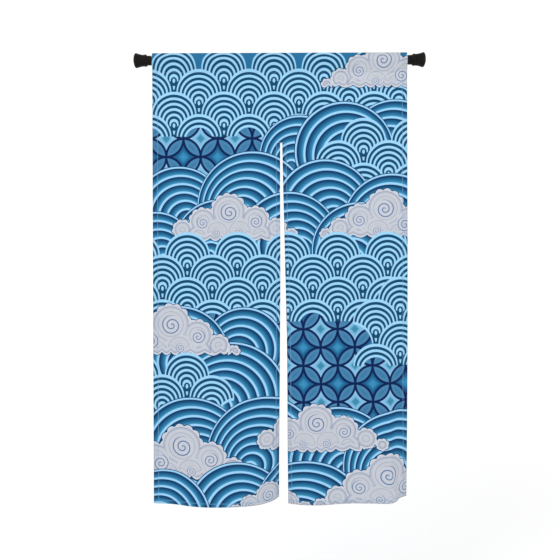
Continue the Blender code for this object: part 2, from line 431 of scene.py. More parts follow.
class Wire:
    """A number on its way through a node tree, so that a group reads like its formula."""

    def __init__(self, tree, socket):
        self.tree = tree
        self.socket = socket

    __add__ = operator("ADD")
    __radd__ = operator("ADD", swapped=True)
    __sub__ = operator("SUBTRACT")
    __rsub__ = operator("SUBTRACT", swapped=True)
    __mul__ = operator("MULTIPLY")
    __rmul__ = operator("MULTIPLY", swapped=True)
    __truediv__ = operator("DIVIDE")
    __rtruediv__ = operator("DIVIDE", swapped=True)
    __abs__ = operator("ABSOLUTE")
    root = operator("SQRT")
    floor = operator("FLOOR")
    fraction = operator("FRACT")
    sine = operator("SINE")
    least = operator("MINIMUM")
    most = operator("MAXIMUM")
    exceeds = operator("GREATER_THAN")

    def over(self, edge, softness=0.8):
        """1 where the number is above the edge and 0 below it, with a soft change between."""
        return calc(self.tree, "MULTIPLY_ADD", self - edge, 1 / softness, 0.5, clamp=True)


def distance(x, y):
    """Distance from the middle of x and y."""
    return (x * x + y * y).root()


def mix_colours(tree, share, below, above):
    """Lays one colour over another by a share from 0 to 1."""
    node = tree.nodes.new("ShaderNodeMix")
    node.data_type = "RGBA"
    join(tree, share, node.inputs["Factor"])
    join(tree, below, node.inputs["A"])
    join(tree, above, node.inputs["B"])
    return node.outputs["Result"]


def colour_ramp(tree, share, stops):
    """Colours along a number from 0 to 1; stops are (place, colour)."""
    node = tree.nodes.new("ShaderNodeValToRGB")
    elements = node.color_ramp.elements
    while len(elements) < len(stops):
        elements.new(0.5)
    for element, (place, colour) in zip(elements, stops):
        element.position = place
        element.color = paint(colour)
    join(tree, share, node.inputs["Fac"])
    return node.outputs["Color"]


def start_group(name, numbers, outputs, vectors=()):
    """Empty node group; returns it with its inputs by name and the node that takes its outputs."""
    group = bpy.data.node_groups.new(name, "ShaderNodeTree")
    for label in vectors:
        group.interface.new_socket(label, in_out="INPUT", socket_type="NodeSocketVector")
    for label, value in numbers:
        socket = group.interface.new_socket(label, in_out="INPUT", socket_type="NodeSocketFloat")
        socket.default_value = value
    for label, kind in outputs:
        group.interface.new_socket(label, in_out="OUTPUT", socket_type="NodeSocket" + kind)
    entry = group.nodes.new("NodeGroupInput")
    given = {label: Wire(group, entry.outputs[label]) for label, value in numbers}
    given.update({label: entry.outputs[label] for label in vectors})
    return group, given, group.nodes.new("NodeGroupOutput")


def finish_group(group, out, **values):
    """Feeds a group's outputs, given by their names, and returns the group."""
    for label, value in values.items():
        join(group, value, out.inputs[label])
    return group


def place_group(tree, group, **values):
    """Puts a group into a tree; an input's name has a low line where its label has a space."""
    node = tree.nodes.new("ShaderNodeGroup")
    node.node_tree = group
    for label, value in values.items():
        join(tree, value, node.inputs[label.replace("_", " ")])
    return node


# Inputs of every part of the print, and outputs of every layer of it
PLACE = [("Across", 0.0), ("Down", 0.0)]
MIDDLE = [("Middle Across", 0.0), ("Middle Down", 0.0)]
LAYER_OUTPUTS = [("Colour", "Color"), ("Mask", "Float")]

# Seigaiha: a fan of arcs that shift down as they shrink, in rows offset by half a fan. In its middle
# are a dark eye with a light hole and a dark foot with a light wedge.
FAN_PITCH = 166.8
FAN_ROW = 74.7
FAN_RADIUS = 74.6
ARC_RADIUS = 67.4
ARC_CENTRE = 81.6
ARC_STEP = 12.3
ARC_SHIFT = 5.6
ARC_COUNT = 5
SMALLEST_ARC = 3.0
ARC_HALF_SHARE = 0.265
EYE_CENTRE = 112.8
EYE_SIZE = 12.6
EYE_NARROWING = 0.84
EYE_FOOT = 122.0
EYE_FOOT_SLOPE = 0.6
EYE_FOOT_REACH = 20.0
HOLE_SIZE = 7.2
HOLE_NARROWING = 0.6
WEDGE_TOP = 130.1
WEDGE_FOOT = 142.4
WEDGE_HALF_WIDTH = 4.0
WEDGE_TAPER = 0.17
# Places on a fan in rings, counted inwards from its first arc: inner edge of its light rim, and
# where the arches of a last row open; and how soft a ring's edge is there
RIM_END = -0.3
ARCH_OPENING = 1.75
RING_SOFTNESS = 0.08


def make_fan_group():
    """One fan. Across is measured from its middle, and Down from its top."""
    outputs = [("Colour", "Color"), ("Ring", "Float"), ("Disc", "Float")]
    group, given, out = start_group("seigaiha_fan", PLACE, outputs)
    x = abs(given["Across"])
    y = given["Down"]
    below = y - ARC_CENTRE
    pull = ARC_RADIUS * ARC_STEP - below * ARC_SHIFT
    reach = ARC_RADIUS ** 2 - (x * x + below * below)
    spread = ARC_STEP ** 2 - ARC_SHIFT ** 2
    round_ring = (pull - (pull * pull - reach * spread).most(0.0).root()) / spread
    straight_ring = (ARC_RADIUS - x) / ARC_STEP
    is_straight = below.exceeds(straight_ring * ARC_SHIFT)
    ring = round_ring + (straight_ring - round_ring) * is_straight
    upward = (ring * ARC_SHIFT - below) / (ARC_RADIUS - ring * ARC_STEP).most(SMALLEST_ARC)
    upward = upward * (1 - is_straight)
    spacing = upward.most(-1.0).least(1.0) * ARC_SHIFT + ARC_STEP
    nearest = (ring + 0.5).floor().most(0.0).least(ARC_COUNT - 1.0)
    arcs = ((ARC_HALF_SHARE - abs(ring - nearest)) * spacing).over(0.0)
    eye = (EYE_SIZE - distance(x / EYE_NARROWING, y - EYE_CENTRE)).over(0.0)
    foot = y + x.least(EYE_FOOT_REACH) * EYE_FOOT_SLOPE
    dark = arcs.most(eye).most((foot - EYE_FOOT).over(0.0))
    hole = (HOLE_SIZE - distance(x / HOLE_NARROWING, y - EYE_CENTRE)).over(0.0)
    wedge = (WEDGE_HALF_WIDTH - (y - WEDGE_TOP) * WEDGE_TAPER - x).over(0.0)
    wedge = wedge * (y - WEDGE_TOP).over(0.0) * (WEDGE_FOOT - y).over(0.0)
    dark = dark * (1 - hole.most(wedge))
    colour = mix_colours(group, dark, paint(LIGHT_BLUE), paint(DEEP_BLUE))
    disc = (FAN_RADIUS - distance(x, y - FAN_RADIUS)).over(0.0)
    return finish_group(group, out, Colour=colour, Ring=ring, Disc=disc)


def make_fan_rows_group(fan):
    """Rows of fans from First Row to Last Row, whose last row is open arches."""
    numbers = PLACE + [("Start Across", 0.0), ("Start Down", 0.0), ("First Row", 0.0),
                       ("Last Row", 3.0), ("Left End", -1000.0), ("Right End", 2000.0)]
    group, given, out = start_group("seigaiha_rows", numbers, LAYER_OUTPUTS)
    row = ((given["Down"] - given["Start Down"]) / FAN_ROW).floor()
    fans = []
    masks = []
    whole = []
    left_out = []
    for back in (0, 1):
        this_row = row - back
        down = given["Down"] - given["Start Down"] - this_row * FAN_ROW
        turn = (this_row * 0.5).fraction()
        columns = (given["Across"] - given["Start Across"]) / FAN_PITCH - turn
        across = (columns - (columns + 0.5).floor()) * FAN_PITCH
        middle = given["Across"] - across
        shown = (this_row + 0.5).exceeds(given["First Row"]) * (given["Last Row"] + 0.5).exceeds(row)
        in_ends = middle.exceeds(given["Left End"]) * given["Right End"].exceeds(middle)
        fans.append(place_group(group, fan, Across=across, Down=down))
        masks.append(shown * in_ends)
        left_out.append(shown * (1 - in_ends))
        to_left = (middle - FAN_PITCH / 2).exceeds(given["Left End"])
        to_right = given["Right End"].exceeds(middle + FAN_PITCH / 2)
        whole.append(to_left * to_right)
    disc = Wire(group, fans[0].outputs["Disc"])
    ring = Wire(group, fans[0].outputs["Ring"])
    arch_row = (row + 0.5).exceeds(given["Last Row"])
    front = masks[0] * disc * (1 - arch_row * ring.over(ARCH_OPENING, RING_SOFTNESS))
    behind = masks[1] * whole[1].most(Wire(group, fans[1].outputs["Disc"]))
    behind = behind * (1 - arch_row * disc * masks[0])
    # A fan left out beyond an end still cuts the one behind it, and leaves its light rim there
    cut = left_out[0] * disc
    behind = behind * (1 - cut * ring.over(RIM_END, RING_SOFTNESS))
    colour = mix_colours(group, front.most(cut), fans[1].outputs["Colour"], fans[0].outputs["Colour"])
    return finish_group(group, out, Colour=colour, Mask=front.most(behind))


# Shippo: circles that overlap by a quarter, so that four petals meet at each crossing. The line's
# half width and softness are in shares of a circle's radius, and the petals' shading is per radius.
CROSSING_ACROSS = 57.3
CROSSING_DOWN = 61.2
PETAL_LINE = 0.0638
LINE_SOFTNESS = 0.02
PETAL_SHADING = 3.2


def make_shippo_group():
    """Across and Down are measured from a crossing."""
    group, given, out = start_group("shippo", PLACE, [("Colour", "Color")])
    x = given["Across"] / CROSSING_ACROSS
    y = given["Down"] / CROSSING_DOWN
    column = x.floor()
    row = y.floor()
    odd = ((column + row) * 0.5).fraction().exceeds(0.25)
    x_in = x - column
    x_in = x_in + odd * (1 - 2 * x_in)
    y_in = y - row
    first = distance(1 - x_in, y_in)
    second = distance(x_in, 1 - y_in)
    petal = (1 - first.most(second)).over(0.0, LINE_SOFTNESS)
    line = (PETAL_LINE - abs(first - 1).least(abs(second - 1))).over(0.0, LINE_SOFTNESS)
    upper = second.exceeds(1.0)
    from_middle = (1 - x_in) + y_in
    from_middle = from_middle + (1 - upper) * (2 - 2 * from_middle)
    diamond_row = row + (1 - upper)
    light_row = 1 - (diamond_row * 0.5).fraction().exceeds(0.25)
    dark_stops = [(0.0, "#3C90BC"), (0.2, "#3386B4"), (0.42, "#1A5F8E"), (0.9, "#11507E")]
    light_stops = [(0.0, "#3A86A8"), (0.2, "#4490B2"), (0.3, "#7AB6DC"), (0.9, "#9CD2F6")]
    dark = colour_ramp(group, from_middle, dark_stops)
    light = colour_ramp(group, from_middle, light_stops)
    colour = mix_colours(group, light_row, dark, light)
    rib = 1 - (1 - first).least(1 - second) * PETAL_SHADING
    petal_stops = [(0.0, "#33739F"), (0.6, "#4984AE"), (1.0, "#326E9C")]
    colour = mix_colours(group, petal, colour, colour_ramp(group, rib, petal_stops))
    return finish_group(group, out, Colour=mix_colours(group, line, colour, paint(NAVY)))


# Ring hills: colours across a ring from its light outer line inwards, and across the one in the
# middle; outline round the hill and softness of its edge, in shares of a ring
RING_STOPS = [(0.0, "#A0D6FF"), (0.17, "#9CD2FA"), (0.22, "#022E56"), (0.35, "#063E68"),
              (0.53, "#195C8A"), (0.78, "#2E7DA8"), (0.92, "#4894BC"), (0.97, "#8ACCF2"),
              (1.0, "#A0D6FF")]
CORE_STOPS = RING_STOPS[:3] + [(0.35, "#195C8A"), (0.6, "#2A80A8"), (1.0, "#195A90")]
HILL_OUTLINE = 0.09
HILL_SOFTNESS = 0.04


def make_hill_group():
    """Rings that shrink towards a leaning middle, each shaded from navy to pale inside its line."""
    numbers = PLACE + MIDDLE + [("Radius", 150.0), ("Rings", 6.0), ("Lean Across", 0.0),
                                ("Lean Down", 0.3)]
    group, given, out = start_group("ring_hill", numbers, LAYER_OUTPUTS)
    x = given["Across"] - given["Middle Across"]
    y = given["Down"] - given["Middle Down"]
    step = given["Radius"] / (given["Rings"] + 1.0)
    shift_x = given["Lean Across"] * step
    shift_y = given["Lean Down"] * step
    pull = given["Radius"] * step - x * shift_x - y * shift_y
    spread = step * step - shift_x * shift_x - shift_y * shift_y
    reach = given["Radius"] * given["Radius"] - x * x - y * y
    ring = (pull - (pull * pull - spread * reach).most(0.0).root()) / spread
    bands = colour_ramp(group, ring.fraction(), RING_STOPS)
    core = colour_ramp(group, ring - given["Rings"], CORE_STOPS)
    colour = mix_colours(group, ring.exceeds(given["Rings"]), bands, core)
    colour = mix_colours(group, ring.over(0.0, HILL_SOFTNESS), paint("#052F58"), colour)
    mask = (ring + HILL_OUTLINE).over(0.0, HILL_SOFTNESS)
    return finish_group(group, out, Colour=colour, Mask=mask)


# Lobes and curls of a bank of cloud, in mm from the middle of its biggest lobe: across, down,
# radius, then scallops round the lobe or the way that the curl turns
WIDE_LOBES = (
    (0, 0, 64, 13),
    (98, 32, 50, 11),
    (-96, 36, 48, 11),
    (176, 62, 36, 9),
    (-172, 66, 34, 9),
    (232, 84, 20, 7),
    (40, 74, 62, 0),
    (-42, 76, 60, 0),
    (112, 88, 48, 0),
    (-110, 90, 46, 0),
)
WIDE_CURLS = ((3, 4, 34, 1), (100, 38, 25, -1), (-96, 42, 23, 1), (34, 78, 17, -1), (-44, 80, 15, 1))
SIDE_LOBES = (
    (0, 0, 68, 13),
    (94, 38, 52, 11),
    (168, 74, 36, 9),
    (222, 96, 20, 7),
    (-90, 56, 62, 11),
    (28, 84, 62, 0),
    (104, 98, 44, 0),
    (-50, 96, 60, 0),
)
SIDE_CURLS = ((3, 4, 35, 1), (96, 44, 25, -1), (-72, 62, 28, -1), (34, 84, 17, 1))
# Scallops: how far they stand out, in mm and by the lobe's radius; and the cloud's wavy base
SCALLOP = 2.5
SCALLOP_GROWTH = 0.08
CLOUD_BASE = 96.0
BASE_WAVE = 11.0
BASE_WAVE_LENGTH = 13.0
BASE_DRIFT_LENGTH = 41.0
# Thin lines inside the outline: distance from it and strength; half width of each, and the depth
# over which the cloud darkens
CONTOURS = ((7.0, 0.9), (11.0, 0.5), (24.0, 0.5))
CONTOUR_WIDTH = 1.1
CLOUD_SHADING = 60
# Curls: turns of the line, and its half width and softness in shares of a turn
CURL_TURNS = 2.2
CURL_WIDTH = 0.12
CURL_SOFTNESS = 0.1
# Width of the pale rim, and of the rim and the navy outline round it
CLOUD_RIM = 1.6
CLOUD_OUTLINE = 4.6


def make_cloud_group(name, lobes, curls):
    """A bank of scalloped lobes with a navy outline, thin contour lines and curls."""
    numbers = PLACE + MIDDLE + [("Size", 1.0)]
    group, given, out = start_group(name, numbers, LAYER_OUTPUTS)
    x = (given["Across"] - given["Middle Across"]) / given["Size"]
    y = (given["Down"] - given["Middle Down"]) / abs(given["Size"])
    outside = None
    rounded = None
    for across, down, radius, scallops in lobes:
        lobe_x = x - across
        lobe_y = y - down
        plain = distance(lobe_x, lobe_y) - radius
        off = plain
        if scallops:
            angle = calc(group, "ARCTAN2", lobe_y, lobe_x)
            wave = abs((angle * (scallops / 2) + across).sine()) - 0.5
            off = plain - wave * (SCALLOP + SCALLOP_GROWTH * radius)
        outside = off if outside is None else outside.least(off)
        rounded = plain if rounded is None else rounded.least(plain)
    drift = (x / BASE_DRIFT_LENGTH).sine()
    base = y - CLOUD_BASE - abs((x / BASE_WAVE_LENGTH + drift).sine()) * BASE_WAVE
    outside = outside.most(base)
    depth = 0 - rounded.most(base)
    stops = [(0.0, "#CACDD7"), (0.5, "#C3C7D0"), (1.0, "#BDC1CB")]
    body = colour_ramp(group, depth / CLOUD_SHADING, stops)
    for contour, strength in CONTOURS:
        line = (CONTOUR_WIDTH - abs(depth - contour)).over(0.0) * strength
        body = mix_colours(group, line, body, paint("#6F83A6"))
    for across, down, radius, turn in curls:
        curl_x = (x - across) * turn
        curl_y = y - down
        reach = distance(curl_x, curl_y)
        angle = calc(group, "ARCTAN2", curl_y, curl_x) / (2 * math.pi)
        winding = (reach / (radius / CURL_TURNS) - angle).fraction()
        line = (CURL_WIDTH - abs(winding - 0.5)).over(0.0, CURL_SOFTNESS)
        inside = (radius - reach).over(0.0)
        body = mix_colours(group, inside, body, paint("#C7CBD6"))
        body = mix_colours(group, line * inside, body, paint("#51749F"))
    rim = (CLOUD_RIM - outside).over(0.0)
    colour = mix_colours(group, rim, paint("#0E4470"), paint("#DDE6F0"))
    colour = mix_colours(group, (0 - outside).over(0.0), colour, body)
    return finish_group(group, out, Colour=colour, Mask=(CLOUD_OUTLINE - outside).over(0.0))


# What the print shows, from the back to the front. Fans: start across and down, first and last
# row, and left and right end where they don't reach from side to side. Hills: across and down of
# the middle, radius, rings, lean across and down. Clouds: across and down of the middle, and size,
# less than 0 where the cloud is turned round.
PRINT_LAYERS = (
    ("fans", 405.7, 129.6, -2, 1),
    ("hill", 492, 345, 135, 5, -0.25, 0.3),
    ("hill", 812, 318, 160, 6, -0.3, 0.25),
    ("hill", 640, 330, 165, 6, 0.25, 0.3),
    ("fans", 703.7, 218.6, 0, 3, 600),
    ("side_cloud", 771, 25, -0.85),
    ("hill", 88, 530, 150, 6, 0.25, 0.3),
    ("hill", 335, 515, 185, 7, -0.3, 0.25),
    ("hill", 575, 522, 165, 6, 0.25, 0.3),
    ("hill", 800, 570, 165, 6, -0.25, 0.3),
    ("hill", 10, 660, 130, 5, 0.25, 0.3),
    ("hill", 222, 640, 150, 6, -0.25, 0.3),
    ("hill", 455, 630, 165, 6, 0.3, 0.25),
    ("hill", 690, 660, 160, 6, -0.25, 0.3),
    ("wide_cloud", 254, 530, 0.9),
    ("side_cloud", 776, 520, -0.9),
    ("fans", 449, 598.4, 0, 3),
    ("fans", 824.5, 749, 0, 3, 700),
    ("hill", 305, 985, 135, 5, -0.25, 0.3),
    ("hill", 90, 1010, 165, 6, 0.25, 0.3),
    ("hill", 262, 1150, 185, 7, -0.3, 0.25),
    ("side_cloud", 60, 905, 0.95),
    ("fans", 113.8, 999.3, 0, 3, -1000, 250),
    ("hill", 130, 1330, 180, 7, 0.25, 0.3),
    ("hill", 370, 1340, 190, 7, -0.28, 0.28),
    ("hill", 610, 1370, 185, 7, 0.25, 0.3),
    ("hill", 815, 1390, 190, 7, -0.25, 0.3),
    ("wide_cloud", 540, 1235, 0.92),
    ("side_cloud", 96, 1312, 1.0),
    ("hill", 277, 1525, 160, 6, 0.25, 0.3),
    ("hill", 40, 1545, 150, 6, -0.25, 0.3),
    ("hill", 511, 1545, 180, 7, -0.25, 0.3),
    ("side_cloud", 771, 1415, -1.0),
    ("wide_cloud", 384, 1484, 0.65),
)
LAYER_INPUTS = {
    "hill": ("Middle_Across", "Middle_Down", "Radius", "Rings", "Lean_Across", "Lean_Down"),
    "fans": ("Start_Across", "Start_Down", "First_Row", "Last_Row", "Left_End", "Right_End"),
    "side_cloud": ("Middle_Across", "Middle_Down", "Size"),
    "wide_cloud": ("Middle_Across", "Middle_Down", "Size"),
}
# A crossing of each of the two shippo fields behind everything, and from where down it holds
UPPER_SHIPPO = (218.0, 286.0)
UPPER_SHIPPO_TOP = 200.0
LOWER_SHIPPO = (500.0, 923.0)
LOWER_SHIPPO_TOP = 620.0
# The print is made in bands down the cloth, each with only the layers that reach it
BAND_ENDS = (-100.0, 400.0, 760.0, 1130.0, 1600.0)
# How far a layer reaches: past a hill's radius, and above and below a cloud's middle at size 1
HILL_MARGIN = 10.0
CLOUD_HEIGHT = 85.0
CLOUD_DEPTH = 115.0
# The right panel is cut on a slant along the slit: how far, and over what length of the slit
SLANT = 13.6
SLANT_LENGTH = 690.0


def layer_reach(kind, values):
    """Highest and lowest place of a layer, down from the top fold."""
    if kind == "hill":
        reach = values[2] + HILL_MARGIN
        return values[1] - reach, values[1] + reach
    if kind == "fans":
        return values[1] + values[2] * FAN_ROW, values[1] + (values[3] + 1) * FAN_ROW
    size = abs(values[2])
    return values[1] - CLOUD_HEIGHT * size, values[1] + CLOUD_DEPTH * size


layer_groups = {
    "hill": make_hill_group(),
    "fans": make_fan_rows_group(make_fan_group()),
    "side_cloud": make_cloud_group("side_cloud", SIDE_LOBES, SIDE_CURLS),
    "wide_cloud": make_cloud_group("wide_cloud", WIDE_LOBES, WIDE_CURLS),
}
shippo = make_shippo_group()


def flat_place(group, given):
    """Across and down on the flat cloth in mm, from a group's Flat Place in metres."""
    parts = group.nodes.new("ShaderNodeSeparateXYZ")
    join(group, given["Flat Place"], parts.inputs[0])
    return Wire(group, parts.outputs["X"]) * (1 / MM), Wire(group, parts.outputs["Y"]) * (1 / MM)


def make_print_group(name, top, foot):
    """One band of the print, with the layers that reach it."""
    group, given, out = start_group(name, [], [("Colour", "Color")], vectors=["Flat Place"])
    across, down = flat_place(group, given)
    slanted = ((down - (POCKET_TOP + SLIT_TOP)) / SLANT_LENGTH).most(0.0).least(1.0) * SLANT
    on_right = across.exceeds(FLAT_SLIT_LEFT)
    across = across + on_right * slanted * (2 * HALF_WIDTH - across) / HALF_WIDTH
    start_across, start_down = UPPER_SHIPPO if top < LOWER_SHIPPO_TOP else LOWER_SHIPPO
    field = place_group(group, shippo, Across=across - start_across, Down=down - start_down)
    colour = field.outputs["Colour"]
    if top < UPPER_SHIPPO_TOP:
        colour = mix_colours(group, down.over(UPPER_SHIPPO_TOP), paint(MIDDLE_BLUE), colour)
    for kind, *values in PRINT_LAYERS:
        layer_top, layer_foot = layer_reach(kind, values)
        if layer_foot < top - CELL or layer_top > foot + CELL:
            continue
        settings = dict(zip(LAYER_INPUTS[kind], values))
        layer = place_group(group, layer_groups[kind], Across=across, Down=down, **settings)
        colour = mix_colours(group, layer.outputs["Mask"], colour, layer.outputs["Colour"])
    return finish_group(group, out, Colour=colour)


# Uneven dye: changes per metre across, down and through, along the warp, along the weft, in patches
WARP_STREAKS = (1100, 22, 1)
WEFT_STREAKS = (22, 1100, 1)
PATCHES = (34, 26, 1)


def noise(tree, place, scale, detail=2.0):
    """Soft uneven number from 0 to 1 at a place, finer with more detail."""
    node = tree.nodes.new("ShaderNodeTexNoise")
    join(tree, place, node.inputs["Vector"])
    join(tree, scale, node.inputs["Scale"])
    join(tree, detail, node.inputs["Detail"])
    return Wire(tree, node.outputs["Fac"])


def make_weave_group():
    """Plain weave seen close: yarns over and under, thick and thin places, uneven dye."""
    numbers = [("Yarn Pitch", 0.5), ("Slub", 0.05), ("Unevenness", 0.03)]
    outputs = [("Height", "Float"), ("Shade", "Float")]
    group, given, out = start_group("plain_weave", numbers, outputs, vectors=["Flat Place"])
    across, down = flat_place(group, given)
    turn = 2 * math.pi / given["Yarn Pitch"]
    warp = (across * turn).sine()
    weft = (down * turn).sine()
    shade = 1.0
    for stretch, strength in (
        (WARP_STREAKS, given["Slub"]),
        (WEFT_STREAKS, given["Slub"]),
        (PATCHES, given["Unevenness"]),
    ):
        scaled = group.nodes.new("ShaderNodeVectorMath")
        scaled.operation = "MULTIPLY"
        join(group, given["Flat Place"], scaled.inputs[0])
        scaled.inputs[1].default_value = stretch
        uneven = noise(group, scaled.outputs[0], 1.0, detail=1.0)
        shade = shade + (uneven - 0.5) * 2 * strength
    return finish_group(group, out, Height=warp * weft, Shade=shade)


# How far from the stitches the painted highlight and the painted shade reach, how wide the painted
# shade along the edges is, and how soft the painted shade at the pocket's seam, in mm
PAINTED_HIGHLIGHT_REACH = 1.3
PAINTED_HIGHLIGHT_SOFTNESS = 1.0
STITCH_REACH = 0.8
EDGE_REACH = 2.8
SEAM_SOFTNESS = 2.0


def make_hem_group():
    """Painted shade on the hems, the pocket's two layers, the edges, the top fold and the stitches, and
    a pale painted highlight along the sewing.
    """
    # How far the painted shade darkens the turned hems, the edges and the top fold, the stitch lines,
    # and the pocket above its seam
    numbers = [("Hem Shade", 0.94), ("Edge Shade", 0.86), ("Stitch Shade", 0.9), ("Pocket Shade", 0.96)]
    outputs = [("Shade", "Float"), ("Turned", "Float"), ("Drawn", "Float")]
    group, given, out = start_group("hem_painted_shade_and_highlight", numbers, outputs, vectors=["Flat Place"])
    across, down = flat_place(group, given)
    from_side = across.least(2 * HALF_WIDTH - across)
    left_of_slit = FLAT_SLIT_LEFT - across
    right_of_slit = across - FLAT_SLIT_RIGHT
    above_slit = (POCKET_TOP + SLIT_TOP - down).over(0.0) * DROP
    from_cut = (left_of_slit.most(right_of_slit) + above_slit).least(POCKET_TOP + DROP - down)
    from_edge = from_side.least(from_cut)
    from_hem = (from_side - SIDE_HEM_EXTRA).least(from_cut)
    from_fold = abs(down)
    seam = POCKET_TOP + POCKET_SEAM
    from_stitches = abs(from_hem - STITCH_LINE).least(abs(from_fold - seam))
    turned = (TURNING_END - from_hem).over(0.0)
    # Painted highlight: a pale line along each line of sewing, standing in for light caught there, from
    # below the pocket's flap
    painted_highlight = (PAINTED_HIGHLIGHT_REACH - abs(from_hem - STITCH_LINE)).over(0.0, PAINTED_HIGHLIGHT_SOFTNESS)
    painted_highlight = painted_highlight * (down - (POCKET_TOP + POCKET_FLAP_END)).over(0.0)
    # Painted shade: the colour is darkened on the turned hems, near the edges and the top fold, along
    # the stitch lines and over the pocket down to its seam
    shade = 1 - turned * (1 - given["Hem Shade"])
    near_edge = (EDGE_REACH - from_edge.least(from_fold)).over(0.0, EDGE_REACH)
    shade = shade * (1 - near_edge * (1 - given["Edge Shade"]))
    at_stitches = (STITCH_REACH - from_stitches).over(0.0)
    shade = shade * (1 - at_stitches * (1 - given["Stitch Shade"]))
    above_seam = (seam - from_fold).over(0.0, SEAM_SOFTNESS)
    shade = shade * (1 - above_seam * (1 - given["Pocket Shade"]))
    return finish_group(group, out, Shade=shade, Turned=turned, Drawn=painted_highlight)


def scale_colour(tree, colour, shade):
    """Darkens or lightens a colour by a factor."""
    node = tree.nodes.new("ShaderNodeVectorMath")
    node.operation = "SCALE"
    join(tree, colour, node.inputs[0])
    join(tree, shade, node.inputs["Scale"])
    return node.outputs[0]


weave = make_weave_group()
hems = make_hem_group()
# Colour of the unprinted yarns, and how much of them the back shows
YARN_COLOUR = "#C3D0DC"
BACK_FADE = 0.55
# Colour that the painted highlight along the sewing tends to, and how far
PAINTED_HIGHLIGHT_COLOUR = "#7CBFEE"
PAINTED_HIGHLIGHT_SHARE = 0.3
# Relief of the yarns: strength, and depth in mm
YARN_RELIEF = 0.35
YARN_DEPTH = 0.06


def start_material(name):
    """New material; returns it with its node tree and its shader."""
    material = bpy.data.materials.new(name)
    material.use_nodes = True
    return material, material.node_tree, material.node_tree.nodes["Principled BSDF"]


def add_relief(tree, height, strength, depth, shader):
    """Fine relief too small for the mesh, at most as deep as given in metres."""
    relief = tree.nodes.new("ShaderNodeBump")
    relief.inputs["Strength"].default_value = strength
    relief.inputs["Distance"].default_value = depth
    join(tree, height, relief.inputs["Height"])
    join(tree, relief.outputs["Normal"], shader.inputs["Normal"])


def make_cloth_material(name, printed, fade):
    """Cloth with one band of the print, fainter behind but for the hems, turned printed side out."""
    material, tree, shader = start_material(name)
    uv_map = tree.nodes.new("ShaderNodeUVMap")
    uv_map.uv_map = "flat_place"
    place = uv_map.outputs["UV"]
    band = place_group(tree, printed, Flat_Place=place)
    yarns = place_group(tree, weave, Flat_Place=place, Yarn_Pitch=0.5, Slub=0.05, Unevenness=0.03)
    sewing = place_group(tree, hems, Flat_Place=place, Hem_Shade=0.94, Edge_Shade=0.86)
    faded = (1 - Wire(tree, sewing.outputs["Turned"])) * fade
    colour = mix_colours(tree, faded, band.outputs["Colour"], paint(YARN_COLOUR))
    # The painted highlight along the sewing is mixed into the colour
    painted_highlight = Wire(tree, sewing.outputs["Drawn"]) * PAINTED_HIGHLIGHT_SHARE
    colour = mix_colours(tree, painted_highlight, colour, paint(PAINTED_HIGHLIGHT_COLOUR))
    # Uneven dye from the weave, times the painted shade of the hems, edges, stitches and pocket
    shade = Wire(tree, yarns.outputs["Shade"]) * Wire(tree, sewing.outputs["Shade"])
    join(tree, scale_colour(tree, colour, shade), shader.inputs["Base Color"])
    add_relief(tree, yarns.outputs["Height"], YARN_RELIEF, YARN_DEPTH * MM, shader)
    shader.inputs["Roughness"].default_value = 0.82
    shader.inputs["Specular IOR Level"].default_value = 0.12
    return material


print_bands = []
for number, (top, foot) in enumerate(zip(BAND_ENDS, BAND_ENDS[1:])):
    print_bands.append(make_print_group(f"noren_print_{number + 1}", top, foot))
for side, fade in (("face", 0.0), ("back", BACK_FADE)):
    for number, printed in enumerate(print_bands):
        name = f"printed_cloth_{side}_{number + 1}"
        curtain.data.materials.append(make_cloth_material(name, printed, fade))
layers.material_offset = len(print_bands)
layers.material_offset_rim = len(print_bands)
flat_uv = curtain.data.uv_layers["flat_place"].uv
for face in curtain.data.polygons:
    middle = sum(flat_uv[loop].vector.y for loop in face.loop_indices) / len(face.loop_indices) / MM
    face.material_index = sum(middle > end for end in BAND_ENDS[1:-1])
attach(curtain, "root")
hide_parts("curtain_cloth")

# The sewing: single needle stitching in light blue thread, along every hem and across the foot of
# the pole pocket. It is seen as short stitches on both faces that dip into the cloth at their ends.
STITCH_PITCH = 3.2
STITCH_LENGTH = 2.6
# Where a line's first stitch starts, and how much of the line's length is left without, in mm
LINE_START = 0.5
LINE_MARGIN = 2.0
THREAD_RADIUS = 0.22
THREAD_SIDES = 4
THREAD_FIBRES = 420.0
# Along a stitch: share of its length, height above the cloth in thread radii, thickness
STITCH_SHAPE = ((0.0, -0.9, 0.7), (0.18, 0.55, 1.0), (0.82, 0.55, 1.0), (1.0, -0.9, 0.7))


def outward(row, column):
    """Direction out of the front face at a mesh point."""
    high_row = max(row - 1, 0)
    low_row = min(row + 1, len(cloth_rows) - 1)
    left = max(column - 1, 0)
    right = min(column + 1, len(pocket_x) - 1)
    down = Vector(cloth_rows[low_row][column]) - Vector(cloth_rows[high_row][column])
    across = Vector(cloth_rows[row][right]) - Vector(cloth_rows[row][left])
    return down.cross(across).normalized()


def stitch_path(cells):
    """Points of a stitch line and the directions out of the cloth there, from rows and columns."""
    return [(Vector(cloth_rows[row][column]), outward(row, column)) for row, column in cells]


